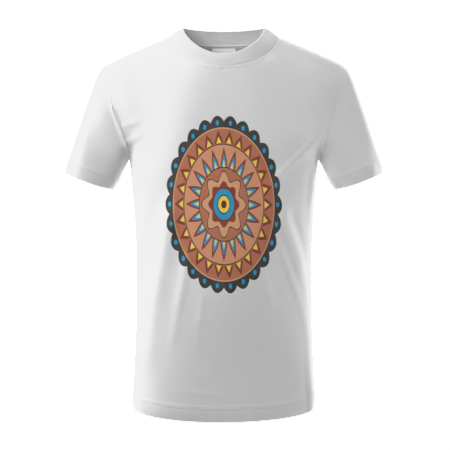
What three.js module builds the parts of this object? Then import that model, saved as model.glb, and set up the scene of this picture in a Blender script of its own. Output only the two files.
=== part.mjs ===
// A child's short-sleeved crew-neck T-shirt, lying on its back with the printed front up.
// Sizes are in millimetres. +X runs across the shirt, +Y from the hem to the neck, and +Z up
// from the surface that the back panel lies on. Plan sizes are measured from the lowest point
// of the hem, and the finished shirt is then moved so that the origin is under its middle.
import * as THREE from "three";

// Body in plan: half widths, and distances from the hem
const HEM_HALF_WIDTH = 132.5;
const WAIST_HALF_WIDTH = 126;
const CHEST_HALF_WIDTH = 137.5;
const WAIST_Y = 194;
const ARMPIT_Y = 380;
const HEM_CORNER_Y = 22;
const BACK_HEM_SAG = 5;

// Shoulder and sleeve in plan
const NECK_POINT_X = 79.5;
const SHOULDER_TIP_X = 168.5;
const SHOULDER_LINE_POINT = [79.5, 559];
const SHOULDER_SLOPE = THREE.MathUtils.degToRad(22.6);
const SHOULDER_ROUNDING = 5;
const SLEEVE_OUTER_CORNER = [232, 362.5];
const SLEEVE_INNER_CORNER = [159.5, 336.5];
const SLEEVE_OUTER_LEAN = THREE.MathUtils.degToRad(18);
const SLEEVE_HEM_BULGE = 3;
const ARMHOLE_PULL_NEAR_TIP = [166, 470];
const ARMHOLE_PULL_NEAR_ARMPIT = [158, 440];

// Neck in plan
const FRONT_NECK_DROP = 43;
const BACK_NECK_DROP = 13;
const NECK_EDGE_HALF_WIDTH = 60;
const NECK_EDGE_CORNER_Y = 571.5;
const NECK_EDGE_FRONT_DROP = 38.5;
const NECK_EDGE_BACK_DROP = 5;

// Heights of the softly lofted shirt above the surface
const FOLD_LINE_Z = 12;
const LOWER_EDGE_ROUNDING = 16;
const LOFT = 5.4;
const LOFT_LOSS_AT_HEM = 0.2;
const LOFT_LOSS_LENGTH = 70;
const LOFT_LOSS_AT_SLEEVE_HEM = 0.2;
const NECK_EDGE_SIDE_Z = 16;
const NECK_EDGE_FRONT_Z = 49;
const NECK_EDGE_BACK_Z = 8;

// Cloth
const JERSEY = 0.8;
const RIB = 1.4;
const SEAM_GAP = 0.3;
const TAPE_THICKNESS = 0.6;
const TAPE_WIDTH = 10;
const TAPE_REACH = 0.88;
const TAPE_LIFT = 0.5;
const LABEL_THICKNESS = 0.5;
const LABEL_WIDTH = 34;
const LABEL_LENGTH = 45;
const LABEL_BELOW_SEAM = 3.5;

// Soft forms of the front: ends in plan, half width and height of each
const FOLDS = [
  // Broad rises and hollows of the body
  { from: [20, 560], to: [-65, 25], spread: 79, height: 7.5 },
  { from: [-100, 310], to: [-30, 525], spread: 38, height: 6 },
  { from: [80, 315], to: [45, 215], spread: 55, height: 7 },
  { from: [95, 350], to: [-25, 480], spread: 43, height: -6 },
  { from: [35, 55], to: [50, 30], spread: 77, height: -10.5 },
  { from: [85, 545], to: [230, 205], spread: 57, height: -8 },
  // Long folds of the body
  { from: [-80, 295], to: [-101, 190], spread: 15, height: 5.5 },
  { from: [-107, 150], to: [-113, 100], spread: 15, height: 3 },
  { from: [-120, 205], to: [-100, 300], spread: 26, height: -6 },
  { from: [90, 300], to: [116, 226], spread: 8, height: 3.5 },
  { from: [121, 207], to: [127, 140], spread: 8, height: 2.5 },
  { from: [70, 345], to: [130, 405], spread: 7, height: 2.5 },
  { from: [55, 535], to: [5, 535], spread: 9, height: -5 },
  // Armholes and sleeves, left and right
  { from: [-165, 475], to: [-145, 415], spread: 16, height: -4 },
  { from: [-130, 495], to: [-170, 330], spread: 33, height: -3.5 },
  { from: [-210, 410], to: [-210, 420], spread: 35, height: 10.5 },
  { from: [-210, 375], to: [-210, 415], spread: 16, height: 4 },
  { from: [165, 495], to: [175, 350], spread: 32, height: -5.5 },
  { from: [160, 365], to: [135, 405], spread: 17, height: 4.5 },
  { from: [135, 400], to: [235, 340], spread: 35, height: 9 },
];
const FOLD_END_SHARE = 1.6;
const FOLD_FADE = 14;

// Numbers of facets
const SHOULDER_STEPS = 5;
const NECK_STEPS = 20;
const SIDE_STEPS = 12;
const ARMHOLE_STEPS = 12;
const SLEEVE_STEPS = 9;
const SLEEVE_CROWDING = 1.5;
const COLLAR_STEPS = 3;
const TAPE_STEPS = 14;

const lerp = THREE.MathUtils.lerp;

// Combinations of two distances measured inwards from an edge: inside both edges, inside either
// edge, and inside both with the corner between them rounded off
const insideBoth = (a, b) => a + b - Math.hypot(a, b);
const insideEither = (a, b) => a + b + Math.hypot(a, b);
const insideRounded = (a, b, rounding) => (a + b) / 2 - Math.hypot((a - b) / 2, rounding);

// Distance of a point from the line through a given point, positive on the side of the normal
function distanceFromLine(x, y, [px, py], [nx, ny]) {
  return (x - px) * nx + (y - py) * ny;
}

function unit(vector) {
  const length = Math.hypot(...vector);
  return vector.map((part) => part / length);
}

// Half width of the body at a distance from the hem: narrowest at the waist
function bodyHalfWidth(y) {
  const below = Math.max(0, (WAIST_Y - y) / (WAIST_Y - HEM_CORNER_Y));
  const above = Math.max(0, (y - WAIST_Y) / (ARMPIT_Y - WAIST_Y));
  const hemFlare = (HEM_HALF_WIDTH - WAIST_HALF_WIDTH) * below ** 1.6;
  const chestFlare = (CHEST_HALF_WIDTH - WAIST_HALF_WIDTH) * above ** 2.2;
  return WAIST_HALF_WIDTH + hemFlare + chestFlare;
}

const SHOULDER_INWARDS = [-Math.sin(SHOULDER_SLOPE), -Math.cos(SHOULDER_SLOPE)];
const SLEEVE_INWARDS = [-Math.cos(SLEEVE_OUTER_LEAN), -Math.sin(SLEEVE_OUTER_LEAN)];
const ARMPIT = [CHEST_HALF_WIDTH, ARMPIT_Y];
const UNDERARM_RUN = unit([SLEEVE_INNER_CORNER[0] - ARMPIT[0], SLEEVE_INNER_CORNER[1] - ARMPIT[1]]);
const UNDERARM_INWARDS = [-UNDERARM_RUN[1], UNDERARM_RUN[0]];

// Distance inwards from the shoulder line and the outer edge of the sleeve, as one rounded edge
function insideShoulder(x, y) {
  const shoulder = distanceFromLine(x, y, SHOULDER_LINE_POINT, SHOULDER_INWARDS);
  const sleeve = distanceFromLine(x, y, SLEEVE_OUTER_CORNER, SLEEVE_INWARDS);
  return insideRounded(shoulder, sleeve, SHOULDER_ROUNDING);
}

// Distance inwards from the outline on the right, of the body and sleeve together
function insideRightEdge(x, y) {
  const body = bodyHalfWidth(y) - x;
  const sleeve = distanceFromLine(x, y, ARMPIT, UNDERARM_INWARDS);
  return insideBoth(insideEither(body, sleeve), insideShoulder(x, y));
}

// How far a point lies inside the folded edges of the shirt: 0 on the outline in plan
function depth(x, y) {
  return Math.max(0, insideBoth(insideRightEdge(x, y), insideRightEdge(-x, y)));
}

// The value between two limits where a falling function reaches 0
function solve(falling, low, high) {
  for (let step = 0; step < 50; step += 1) {
    const middle = (low + high) / 2;
    if (falling(middle) > 0) low = middle;
    else high = middle;
  }
  return low;
}

const shoulderY = (x) => solve((y) => insideShoulder(x, y), 300, 620);
const sleeveOuterX = (y) => solve((x) => insideShoulder(x, y), 100, 300);

const mirrored = ([x, y]) => [-x, y];

// Height that the valleys, ridges and folds add to the front
function foldHeight(x, y) {
  let height = 0;
  for (const fold of FOLDS) {
    const run = [fold.to[0] - fold.from[0], fold.to[1] - fold.from[1]];
    const length = Math.hypot(...run);
    const along = ((x - fold.from[0]) * run[0] + (y - fold.from[1]) * run[1]) / length;
    const across = ((x - fold.from[0]) * run[1] - (y - fold.from[1]) * run[0]) / length;
    const past = Math.max(0, -along, along - length);
    const fadedEnd = (past / (FOLD_END_SHARE * fold.spread)) ** 2;
    height += fold.height * Math.exp(-((across / fold.spread) ** 2) - fadedEnd);
  }
  return height;
}

// Loft of the front, less near the hem and towards the sleeve hems
function loft(x, y) {
  const nearHem = Math.exp(-y / LOFT_LOSS_LENGTH);
  const alongSleeve = THREE.MathUtils.smoothstep(Math.abs(x), CHEST_HALF_WIDTH, SLEEVE_OUTER_CORNER[0]);
  return LOFT * (1 - LOFT_LOSS_AT_HEM * nearHem) * (1 - LOFT_LOSS_AT_SLEEVE_HEM * alongSleeve);
}

function foldsAt(x, y) {
  return foldHeight(x, y) * THREE.MathUtils.smoothstep(depth(x, y), 0, FOLD_FADE);
}

const frontHeight = (x, y) => FOLD_LINE_Z + loft(x, y) * Math.sqrt(depth(x, y)) + foldsAt(x, y);

function backHeight(x, y) {
  const share = 1 - Math.min(depth(x, y) / LOWER_EDGE_ROUNDING, 1);
  return FOLD_LINE_Z * (1 - Math.sqrt(1 - share * share));
}

// The faces of the shirt are where these two expressions are 0, and they fall off outwards
const frontFace = (x, y, z) => loft(x, y) ** 2 * depth(x, y) - (z - FOLD_LINE_Z - foldsAt(x, y)) ** 2;

function backFace(x, y, z) {
  const share = 1 - Math.min(depth(x, y) / LOWER_EDGE_ROUNDING, 1);
  return 1 - ((z - FOLD_LINE_Z) / FOLD_LINE_Z) ** 2 - share * share;
}

// Outward direction of a face at a point on it
function outward(face, x, y, z) {
  const step = 0.01;
  return unit([
    face(x - step, y, z) - face(x + step, y, z),
    face(x, y - step, z) - face(x, y + step, z),
    face(x, y, z - step) - face(x, y, z + step),
  ]);
}

function onFront([x, y]) {
  const z = frontHeight(x, y);
  return { point: [x, y, z], normal: outward(frontFace, x, y, z + 1e-3) };
}

function onBack([x, y]) {
  const z = backHeight(x, y);
  return { point: [x, y, z], normal: outward(backFace, x, y, z - 1e-3) };
}

// Points of the seams in plan, on the right side unless a function takes the side
const SHOULDER_TIP = [SHOULDER_TIP_X, shoulderY(SHOULDER_TIP_X)];
const NECK_POINT = [NECK_POINT_X, shoulderY(NECK_POINT_X)];
const HEM_CORNER = [bodyHalfWidth(HEM_CORNER_Y), HEM_CORNER_Y];

const range = (count) => Array.from({ length: count }, (_, i) => i);
// Even shares from 0 to 1, and shares that crowd together at both ends
const evenShares = (steps) => range(steps + 1).map((i) => i / steps);
const crowdedShares = (steps) => evenShares(steps).map((share) => (1 - Math.cos(Math.PI * share)) / 2);

// The armhole seam from the armpit (0) to the tip of the shoulder (1)
function armhole(share) {
  const curve = new THREE.CubicBezierCurve(
    new THREE.Vector2(...ARMPIT),
    new THREE.Vector2(...ARMHOLE_PULL_NEAR_ARMPIT),
    new THREE.Vector2(...ARMHOLE_PULL_NEAR_TIP),
    new THREE.Vector2(...SHOULDER_TIP),
  );
  return curve.getPoint(share).toArray();
}

// A neck seam, at an angle from 0 at the right neck point to PI at the left one
function neckSeam(angle, drop) {
  return [NECK_POINT[0] * Math.cos(angle), NECK_POINT[1] - drop * Math.sin(angle) ** 1.2];
}

// The right edge of a body panel, from the hem corner up the side seam and the armhole
function panelSide() {
  const seam = evenShares(SIDE_STEPS).map((share) => {
    const y = lerp(HEM_CORNER_Y, ARMPIT_Y, share);
    return [bodyHalfWidth(y), y];
  });
  return [...seam, ...crowdedShares(ARMHOLE_STEPS).slice(1).map(armhole)];
}

// The top edge of a body panel, from the left shoulder tip through the neck seam to the right one
function panelTop(neckDrop) {
  const shoulder = evenShares(SHOULDER_STEPS).map((share) => {
    const x = lerp(SHOULDER_TIP[0], NECK_POINT[0], share);
    return [x, shoulderY(x)];
  });
  const neck = evenShares(NECK_STEPS).map((share) => neckSeam(Math.PI * (1 - share), neckDrop));
  const left = shoulder.map(([x, y]) => [-x, y]);
  return [...left.slice(0, -1), ...neck, ...shoulder.reverse().slice(1)];
}

// A body panel's points in plan, row by row from the hem: the side edge sets each row's width
// and height, the hem shapes the lowest rows and the top edge the highest ones
function panelPlan(neckDrop, hemSag) {
  const side = panelSide();
  const top = panelTop(neckDrop);
  return side.map(([sideX, sideY]) => {
    const share = (sideY - HEM_CORNER[1]) / (SHOULDER_TIP[1] - HEM_CORNER[1]);
    const towardsTop = share ** 3;
    return top.map(([topX, topY], column) => {
      const angle = Math.PI * (column / (top.length - 1) - 0.5);
      const across = lerp(Math.sin(angle), topX / SHOULDER_TIP[0], towardsTop);
      const hem = -hemSag * Math.cos(angle) * (1 - share) ** 2;
      return [sideX * across, sideY + hem + (topY - SHOULDER_TIP[1]) * towardsTop];
    });
  });
}

// The right sleeve in plan: a share of the way from its outer fold to the underarm, at a share
// of the way from the armhole to the sleeve hem
function sleevePlan(inwards, along) {
  const [tipX, tipY] = SHOULDER_TIP;
  const seam = armhole(1 - inwards);
  const hem = [0, 1].map((axis) => lerp(SLEEVE_OUTER_CORNER[axis], SLEEVE_INNER_CORNER[axis], inwards));
  hem[1] -= SLEEVE_HEM_BULGE * Math.sin(Math.PI * inwards);
  const outerY = lerp(tipY, SLEEVE_OUTER_CORNER[1], along);
  const outerX = sleeveOuterX(outerY);
  const outwardsBulge = outerX - lerp(tipX, sleeveOuterX(SLEEVE_OUTER_CORNER[1]), along);
  return [
    lerp(seam[0], hem[0], along) + outwardsBulge * (1 - inwards),
    lerp(seam[1], hem[1], along),
  ];
}

const shifted = (point, direction, distance) =>
  point.map((value, axis) => value + direction[axis] * distance);

// Moves the edge points of a sheet inwards by half the gap that a seam leaves
function trimEdges(rows, closedRing) {
  const half = SEAM_GAP / 2;
  const towards = (from, to) => unit(to.point.map((value, axis) => value - from.point[axis]));
  const trim = (edge, inner) => ({ ...edge, point: shifted(edge.point, towards(edge, inner), half) });
  const last = rows.length - 1;
  const trimmed = rows.map((row, index) => {
    if (index !== 0 && index !== last) return row;
    const inner = rows[index === 0 ? 1 : last - 1];
    return row.map((cell, column) => trim(cell, inner[column]));
  });
  if (closedRing) return trimmed;
  return trimmed.map((row) => [
    trim(row[0], row[1]),
    ...row.slice(1, -1),
    trim(row[row.length - 1], row[row.length - 2]),
  ]);
}

// A closed sheet between the given outer points and points at two depths under them. A ring's
// rows join up with themselves.
function sheetGeometry(rows, thickness, closedRing = false, under = 0) {
  const columns = rows[0].length;
  const cells = rows.flat();
  const outer = cells.map(({ point, normal }) => shifted(point, normal, -under));
  const inner = cells.map(({ point, normal }) => shifted(point, normal, -under - thickness));
  const faces = [];
  const addQuad = (a, b, c, d) => faces.push(a, b, c, a, c, d);
  const at = (row, column) => row * columns + (column % columns);
  const lastRow = rows.length - 1;
  const spans = closedRing ? columns : columns - 1;
  for (const row of range(lastRow))
    for (const column of range(spans)) {
      const quad = [at(row, column), at(row, column + 1), at(row + 1, column + 1), at(row + 1, column)];
      addQuad(...quad);
      addQuad(...quad.reverse().map((index) => index + cells.length));
    }
  // A rim facet pair is split along its shorter diagonal, so that two sheets that share a seam
  // split it alike
  const places = [...outer, ...inner].map((point) => new THREE.Vector3(...point));
  const addRim = (from, to) => {
    const corners = [to, from, from + cells.length, to + cells.length];
    const [a, b, c, d] = corners.map((index) => places[index]);
    if (a.distanceTo(c) > b.distanceTo(d)) corners.push(corners.shift());
    addQuad(...corners);
  };
  for (const column of range(spans)) {
    addRim(at(0, column), at(0, column + 1));
    addRim(at(lastRow, column + 1), at(lastRow, column));
  }
  if (!closedRing)
    for (const row of range(lastRow)) {
      addRim(at(row + 1, 0), at(row, 0));
      addRim(at(row, spans), at(row + 1, spans));
    }
  const geometry = new THREE.BufferGeometry();
  geometry.setAttribute("position", new THREE.Float32BufferAttribute([...outer, ...inner].flat(), 3));
  geometry.setIndex(faces);
  geometry.computeVertexNormals();
  return geometry;
}

function frontPanel() {
  const rows = panelPlan(FRONT_NECK_DROP, HEM_CORNER_Y).map((row) => row.map(onFront));
  return sheetGeometry(trimEdges(rows), JERSEY);
}

// The back panel's rows run from right to left, so that its outer face looks down
function backPanel() {
  const rows = panelPlan(BACK_NECK_DROP, BACK_HEM_SAG).map((row) => row.reverse().map(onBack));
  return sheetGeometry(trimEdges(rows), JERSEY);
}

// A sleeve is a ring at each step along it: over the front from the outer fold to the underarm,
// then back under it
function sleeve(side) {
  const shares = crowdedShares(ARMHOLE_STEPS);
  const place = side > 0 ? (point) => point : mirrored;
  const rows = evenShares(SLEEVE_STEPS).map((step) => step ** SLEEVE_CROWDING).map((along) => [
    ...shares.slice(0, -1).map((share) => onFront(place(sleevePlan(share, along)))),
    ...shares.slice(1).reverse().map((share) => onBack(place(sleevePlan(share, along)))),
  ]);
  const ordered = side > 0 ? rows : rows.map((row) => row.reverse());
  return sheetGeometry(trimEdges(ordered, true), JERSEY, true);
}

// The free top edge of the neck band, round the ring: 0 to PI over the front from right to left,
// then back along the back of the neck
function neckEdge(angle) {
  const middle = Math.abs(Math.sin(angle));
  const x = NECK_EDGE_HALF_WIDTH * Math.cos(angle);
  const front = Math.sin(angle) >= 0;
  const drop = front ? NECK_EDGE_FRONT_DROP * middle ** 1.4 : NECK_EDGE_BACK_DROP * middle;
  const height = lerp(NECK_EDGE_SIDE_Z, front ? NECK_EDGE_FRONT_Z : NECK_EDGE_BACK_Z, middle);
  return [x, NECK_EDGE_CORNER_Y - drop, height];
}

function neckBand() {
  const angles = range(2 * NECK_STEPS).map((step) => (Math.PI * step) / NECK_STEPS);
  const seam = angles.map((angle) =>
    angle <= Math.PI
      ? onFront(neckSeam(angle, FRONT_NECK_DROP))
      : onBack(neckSeam(2 * Math.PI - angle, BACK_NECK_DROP)),
  );
  const rows = evenShares(COLLAR_STEPS).map((share) =>
    seam.map(({ point }, column) => {
      const edge = neckEdge(angles[column]);
      return point.map((value, axis) => lerp(value, edge[axis], share));
    }),
  );
  const count = angles.length;
  const withNormals = rows.map((row, index) =>
    row.map((point, column) => {
      const before = new THREE.Vector3(...row[(column + count - 1) % count]);
      const after = new THREE.Vector3(...row[(column + 1) % count]);
      const base = new THREE.Vector3(...rows[0][column]);
      const tip = new THREE.Vector3(...rows[COLLAR_STEPS][column]);
      const own = tip.sub(base).cross(after.sub(before)).normalize();
      const seamNormal = new THREE.Vector3(...seam[column].normal);
      const normal = seamNormal.lerp(own, index / COLLAR_STEPS).normalize();
      return { point, normal: normal.toArray() };
    }),
  );
  return sheetGeometry(trimEdges(withNormals.reverse(), true), RIB, true);
}

// The tape lies inside, on the back panel, just below the back neck seam
function neckTape() {
  const shares = evenShares(TAPE_STEPS);
  const rows = [TAPE_WIDTH + 1, 1].map((below) =>
    shares.map((share) => {
      const across = lerp(-TAPE_REACH, TAPE_REACH, 1 - share);
      const [x, y] = neckSeam(Math.acos(across), BACK_NECK_DROP);
      return onBack([x, y - below]);
    }),
  );
  return sheetGeometry(rows, TAPE_THICKNESS, false, JERSEY + TAPE_LIFT);
}

// The label hangs from the tape, flat against the inside of the back
function neckLabel() {
  const bottom = JERSEY + TAPE_LIFT + TAPE_THICKNESS + SEAM_GAP;
  const top = NECK_POINT[1] - BACK_NECK_DROP - LABEL_BELOW_SEAM;
  const geometry = new THREE.BoxGeometry(LABEL_WIDTH, LABEL_LENGTH, LABEL_THICKNESS);
  return geometry.translate(0, top - LABEL_LENGTH / 2, bottom + LABEL_THICKNESS / 2);
}

const jersey = new THREE.MeshStandardMaterial({ color: 0xe8e8e8, roughness: 0.9, metalness: 0 });
const ribKnit = new THREE.MeshStandardMaterial({ color: 0xe4e4e4, roughness: 0.92, metalness: 0 });
const wovenTape = new THREE.MeshStandardMaterial({ color: 0xaaaaaa, roughness: 0.85, metalness: 0 });
const labelSatin = new THREE.MeshStandardMaterial({ color: 0xf2f2f2, roughness: 0.6, metalness: 0 });

function piece(name, geometry, material) {
  const mesh = new THREE.Mesh(geometry, material);
  mesh.name = name;
  return mesh;
}

const laidShirt = new THREE.Group();
laidShirt.add(
  piece("front_panel", frontPanel(), jersey),
  piece("back_panel", backPanel(), jersey),
  piece("right_sleeve", sleeve(1), jersey),
  piece("left_sleeve", sleeve(-1), jersey),
  piece("neck_rib", neckBand(), ribKnit),
  piece("neck_tape", neckTape(), wovenTape),
  piece("neck_label", neckLabel(), labelSatin),
);
laidShirt.position.y = -NECK_EDGE_CORNER_Y / 2;

const shirt = new THREE.Group();
shirt.add(laidShirt);

export default shirt;
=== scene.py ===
# A child's white crew-neck T-shirt with a printed medallion, laid on its back.
# Shapes are worked out in millimetres on the shirt's plan, measured from the lowest point of the
# hem, and become metres round the frame's origin when a mesh is made.
import math

import bmesh
import bpy
import numpy as np
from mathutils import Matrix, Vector


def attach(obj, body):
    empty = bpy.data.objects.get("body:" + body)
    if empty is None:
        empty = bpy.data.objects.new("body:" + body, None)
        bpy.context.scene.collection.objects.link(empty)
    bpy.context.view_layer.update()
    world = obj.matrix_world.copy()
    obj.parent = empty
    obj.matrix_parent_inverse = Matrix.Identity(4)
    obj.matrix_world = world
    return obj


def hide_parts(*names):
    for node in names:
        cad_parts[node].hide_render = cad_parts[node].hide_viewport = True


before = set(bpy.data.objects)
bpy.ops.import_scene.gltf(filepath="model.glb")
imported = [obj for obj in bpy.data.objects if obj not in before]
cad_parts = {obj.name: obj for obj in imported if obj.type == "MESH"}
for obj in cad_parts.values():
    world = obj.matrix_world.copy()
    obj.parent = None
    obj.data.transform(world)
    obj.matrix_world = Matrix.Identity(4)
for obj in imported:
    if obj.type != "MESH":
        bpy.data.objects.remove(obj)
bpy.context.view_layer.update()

MM = 0.001

# Body in plan
HEM_HALF_WIDTH = 132.5
WAIST_HALF_WIDTH = 126.0
CHEST_HALF_WIDTH = 137.5
WAIST_Y = 194.0
ARMPIT_Y = 380.0
HEM_CORNER_Y = 22.0
BACK_HEM_SAG = 5.0
HEM_FLARE_POWER = 1.6
CHEST_FLARE_POWER = 2.2

# Shoulder and sleeve in plan
NECK_POINT_X = 79.5
SHOULDER_TIP_X = 168.5
SHOULDER_LINE_POINT = (79.5, 559.0)
SHOULDER_SLOPE = math.radians(22.6)
SHOULDER_ROUNDING = 5.0
SLEEVE_OUTER_CORNER = np.array([232.0, 362.5])
SLEEVE_INNER_CORNER = np.array([159.5, 336.5])
SLEEVE_OUTER_LEAN = math.radians(18)
SLEEVE_HEM_BULGE = 3.0
ARMHOLE_PULL_NEAR_TIP = np.array([166.0, 470.0])
ARMHOLE_PULL_NEAR_ARMPIT = np.array([158.0, 440.0])

# Neck in plan
FRONT_NECK_DROP = 43.0
BACK_NECK_DROP = 13.0
NECK_SEAM_POWER = 1.2
NECK_EDGE_HALF_WIDTH = 60.0
NECK_EDGE_CORNER_Y = 571.5
NECK_EDGE_FRONT_DROP = 38.5
NECK_EDGE_FRONT_POWER = 1.4
NECK_EDGE_BACK_DROP = 5.0
NECK_EDGE_BACK_POWER = 2

# Heights of the softly lofted shirt above the surface
FOLD_LINE_Z = 12.0
LOWER_EDGE_ROUNDING = 16.0
LOFT = 5.4
LOFT_LOSS_AT_HEM = 0.2
LOFT_LOSS_LENGTH = 70.0
LOFT_LOSS_AT_SLEEVE_HEM = 0.2
NECK_EDGE_SIDE_Z = 16.0
NECK_EDGE_FRONT_Z = 49.0
NECK_EDGE_BACK_Z = 8.0

# Cloth of the body and sleeves, band, tape and label
JERSEY = 0.8
RIB = 1.4
RIB_PITCH = 1.7
RIB_HEIGHT = 0.22
RIB_FADE = (0.5, 3.0)
BAND_BULGE = 0.4
TAPE_THICKNESS = 0.6
TAPE_WIDTH = 10.0
TAPE_REACH = 0.88
TAPE_BELOW_SEAM = 1.0
TAPE_LIFT = 0.5
TAPE_BOW = 0.15
LABEL_THICKNESS = 0.5
LABEL_WIDTH = 34.0
LABEL_LENGTH = 45.0
LABEL_BELOW_SEAM = 3.5
LABEL_LIFT = 2.5
LABEL_CURL = 0.4
LABEL_CURL_TURN = 0.5

# Hems
BODY_HEM_DEPTH = 20.0
SLEEVE_HEM_DEPTH = 18.0
TWIN_NEEDLE_GAP = 3.5
HEM_STEP = 0.4
HEM_RISE = 0.35
HEM_RISE_ENDS = (-1.0, 2.0)
HEM_DROP = 1.8
HEM_RIDGE = 0.55
HEM_RIDGE_PLACE = 1.2
HEM_RIDGE_WIDTH = 2.6
HEM_TWIST = 0.22
HEM_TWIST_PITCH = 30.0
HEM_TWIST_SLANT = 0.7
HEM_TWIST_WANDER = 1.2
HEM_TWIST_WANDER_LENGTH = 23.0
HEM_TWIST_MIDDLE = 0.55
HEM_TWIST_SPREAD = 0.4

# Seams and stitches
SEAM_GAP = 0.3
SEAM_DIP = 0.28
SEAM_DIP_WIDTH = 0.8
SEAM_RIDGE = 0.22
SEAM_RIDGE_PLACE = 2.2
SEAM_RIDGE_WIDTH = 1.4
NECK_STITCH_PLACE = 6.0
NECK_RIDGE_FADE = 2.0
NECK_RIDGE_BLEND = 0.01
NECK_GROOVE = 1.9
NECK_GROOVE_WIDTH = 1.2
NECK_GROOVE_SIDE = (15.0, 45.0)
NECK_GROOVE_END = 0.1
PUCKER = 0.3
PUCKER_PITCH = 11.0
PUCKER_WANDER = 1.4
PUCKER_WANDER_LENGTH = 17.0
PUCKER_START = 1.5
PUCKER_LENGTH = 7.0
PUCKER_CLEAR_OF_SEAM = 2.0
STITCH_PITCH = 2.6
STITCH_LENGTH = 2.0
STITCH_RADIUS = 0.2
STITCH_SIDES = 6
STITCH_AIM = 0.5
STITCH_DIP = 0.3
STITCH_DIP_WIDTH = 0.9

# How finely each piece is made. Each shoulder takes up the same share of a panel's top edge.
NECK_SHARE = 1 / 6
HEM_STEPS = 34
CLOSE_ROWS_PAST_HEM = 6.0
SIDE_STEPS = 150
ARMHOLE_STEPS = 60
ARMHOLE_CROWDING = 0.8
SHOULDER_STEPS = 34
SHOULDER_CROWDING = 0.5
FRONT_NECK_STEPS = 120
BACK_SHOULDER_STEPS = 24
BACK_NECK_STEPS = 70
SLEEVE_STEPS = 120
SLEEVE_CROWDING = 0.6
NECK_BAND_STEPS = 16
NECK_BAND_CROWDING = 0.5
NECK_ROUND_POINTS = 3000
COLUMNS_IN_A_RIB = 4
TAPE_ROWS = 6
TAPE_COLUMNS = 80
LABEL_ROWS = 14
LABEL_COLUMNS = 12
RIM_ROWS = 3

# How exactly edges and slopes are found
HALVINGS = 50
SHOULDER_SEARCH = (300.0, 620.0)
SLEEVE_SEARCH = (100.0, 300.0)
SLOPE_STEP = 0.01
SLOPE_LIFT = 0.001
LEAST_LENGTH = 1e-9
SAME_POINT = 1e-6

# Maps of each mesh, and the places of a cloth piece's parts in the layout
CLOTH_MAP = "cloth"
LAYOUT_MAP = "OFBake"
OUTER_BOX = (0.01, 0.48, 0.03, 0.97)
INNER_BOX = (0.52, 0.99, 0.03, 0.97)
RIM_BOX = (0.01, 0.48, 0.01, 0.02)
SEAM_BOX = (0.01, 0.48, 0.98, 0.99)
SIDE_BOXES = ((0.49, 0.495, 0.03, 0.97), (0.505, 0.51, 0.03, 0.97))
INNER_FACE_SHIFT = 1000.0
SHARP_ANGLE = math.radians(50)

# Colours, linear, and surfaces
JERSEY_COLOUR = (0.86, 0.86, 0.87)
JERSEY_SHADE = (0.82, 0.82, 0.83)
JERSEY_ROUGHNESS = 0.88
RIB_COLOUR = (0.85, 0.85, 0.86)
# The rib's darker colour is painted shade in the furrows between ribs, mixed with random mottle
RIB_FURROW_PAINTED_SHADE_AND_MOTTLE = (0.76, 0.76, 0.77)
RIB_ROUGHNESS = 0.9
# The tape's mid grey is partly its own colour and partly painted shade from inside the neck
TAPE_GREY_WITH_PAINTED_SHADE = (0.42, 0.42, 0.42)
TAPE_DARKER_GREY_WITH_PAINTED_SHADE = (0.33, 0.33, 0.33)
TAPE_ROUGHNESS = 0.85
LABEL_COLOUR = (0.9, 0.9, 0.9)
LABEL_SHADE = (0.82, 0.82, 0.82)
LABEL_ROUGHNESS = 0.55
THREAD_COLOUR = (0.88, 0.88, 0.88)
THREAD_ROUGHNESS = 0.6
KNIT_SHEEN = 0.12
TAPE_SHEEN = 0.08
SMOOTH_SHEEN = 0.05
SHEEN_ROUGHNESS = 0.5
SPECULAR = 0.25

# Knit and weave: pitches, blotches, heights of relief and shares of the pattern
JERSEY_WALE = 1.05
JERSEY_COURSE = 0.8
JERSEY_BLOTCH = 46.0
JERSEY_FLECK = 5.0
JERSEY_FUZZ = 0.9
JERSEY_RELIEF = 0.16
RIB_COURSE = 0.9
RIB_BLOTCH = 8.0
RIB_FUZZ = 0.8
RIB_RELIEF = 0.18
KNIT_SLANT = 0.6
WALE_ROUNDING = 0.6
COURSE_ROUNDING = 0.8
PATTERN_SHARE = 0.7
TWILL_PITCH = 1.1
TWILL_COLOUR_SHARE = 0.6
TWILL_HEIGHT_SHARE = 0.8
TAPE_BLOTCH = 6.0
TAPE_FUZZ = 0.6
TAPE_RELIEF = 0.15
LABEL_WEFT = 0.5
LABEL_WEFT_SHARE = 0.5
LABEL_EDGE = 1.6
LABEL_RELIEF = 0.08
THREAD_TWIST = 0.7
THREAD_RELIEF = 0.05

# The print, in millimetres on the flat cloth. Places in it are shares of its reach.
PRINT_WIDTH = 172.0
PRINT_HEIGHT = 258.0
PRINT_MIDDLE_Y = 316.0
LOBES = 26
LOBE_DEPTH = 0.07
LOBE_DOT_PLACE = 0.92
LOBE_DOT_SIZE = 0.028
ZIGZAGS = 26
ZIGZAG_BAND = (0.69, 0.84)
RAYS = 20
RAY_BAND = (0.42, 0.66)
PETALS = 8
INK_GRAIN = 0.8
INK_GRAIN_SHARE = 0.12
INK_CLOUD = 24.0
INK_CLOUD_SHARE = 0.08
INK_LEAST_COVER = 0.88
INK_ROUGHNESS = 0.72
INK_FLATTENS_KNIT = 0.5

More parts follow.
